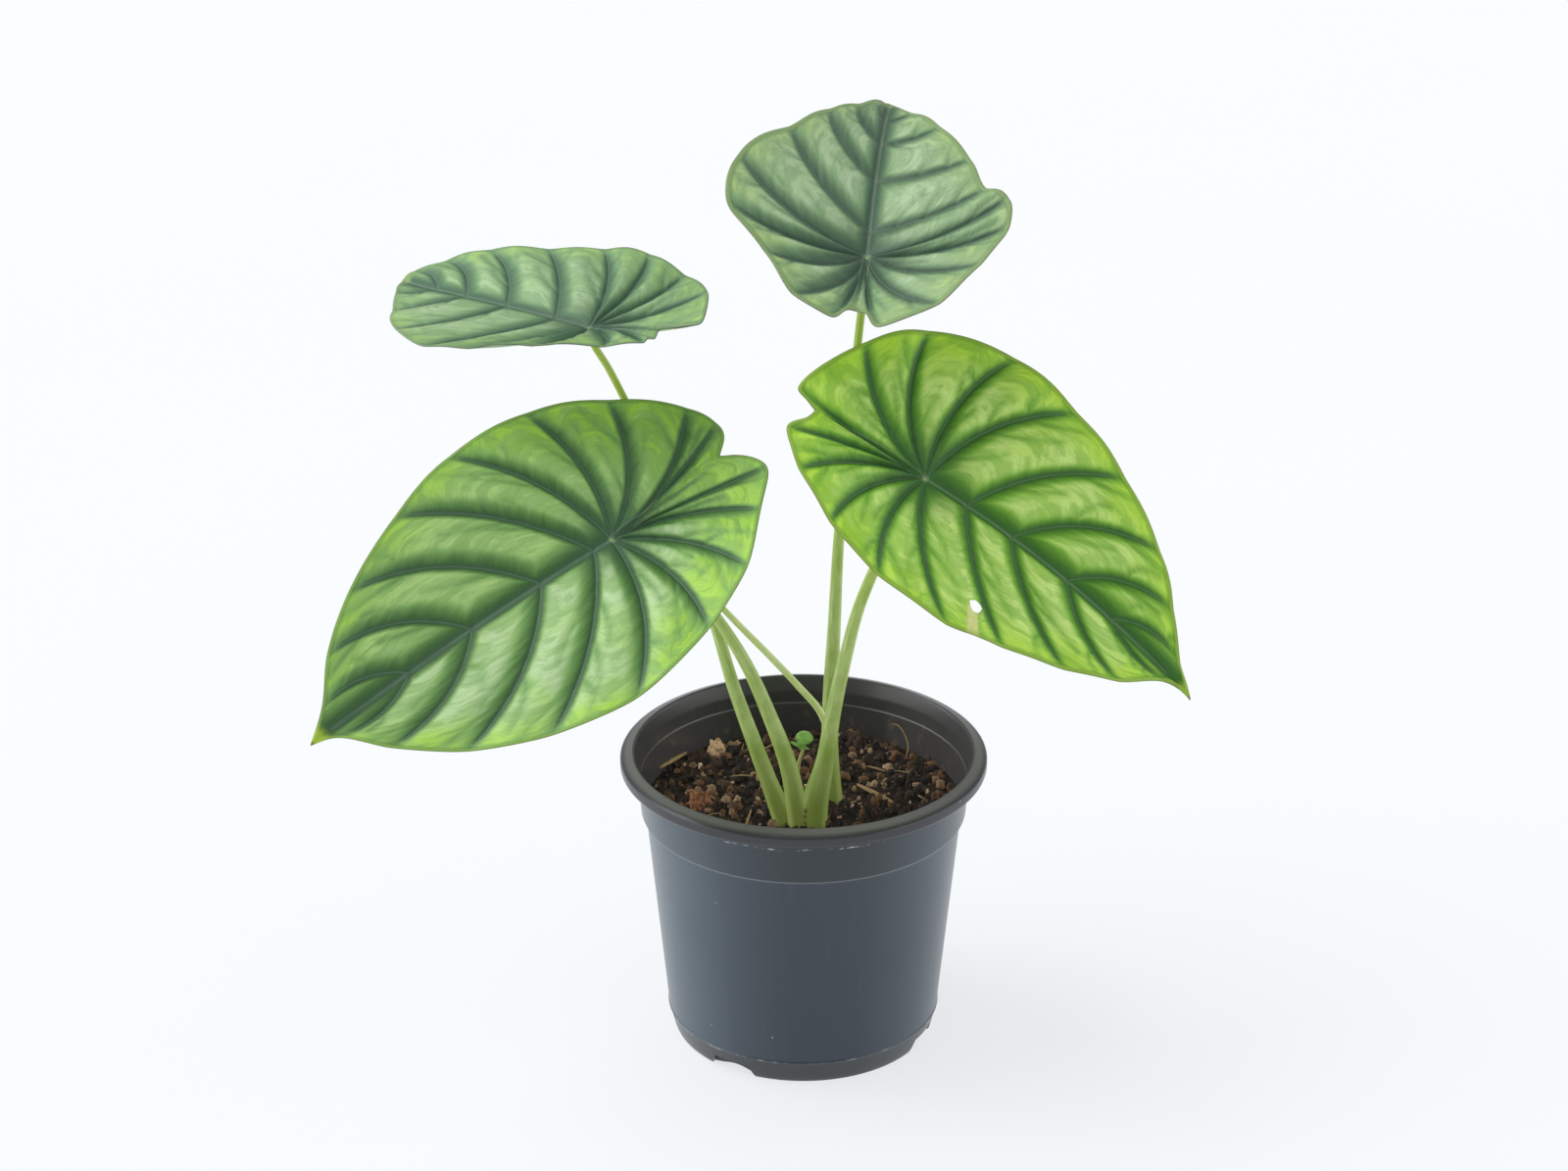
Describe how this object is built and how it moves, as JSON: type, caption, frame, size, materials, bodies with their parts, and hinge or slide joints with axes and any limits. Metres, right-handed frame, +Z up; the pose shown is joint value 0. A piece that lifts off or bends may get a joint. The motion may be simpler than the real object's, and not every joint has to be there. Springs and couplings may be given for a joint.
{
  "type": "potted alocasia plant",
  "caption": "Young potted aroid with broad shield-shaped leaves, sunken arched veins and slender leaf stalks, standing in soil in a plain tapered grey plastic nursery pot with a lipped rim.",
  "frame": {"origin": "on the ground under the middle of the pot", "axes": "+Z up, +X to the right and -Y towards the viewer in the picture's view"},
  "size_m": [0.3156, 0.2381, 0.3444],
  "materials": {
    "pot": "satin slate grey, moulded, lightly scuffed",
    "soil": null,
    "crown": null,
    "stalk": null,
    "blade": null,
    "blade_bright": null,
    "seedling": null
  },
  "bodies": {
    "root": {"pot": "pot", "soil": "soil", "crown": "crown", "stalk_front_right": "stalk", "stalk_front_left": "stalk", "stalk_back_left": "stalk", "stalk_back_right": "stalk", "stalk_thin": "stalk", "blade_front_left": "blade", "blade_front_right": "blade_bright", "blade_back_left": "blade", "blade_back_right": "blade", "seedling": "seedling"}
  },
  "joints": []
}
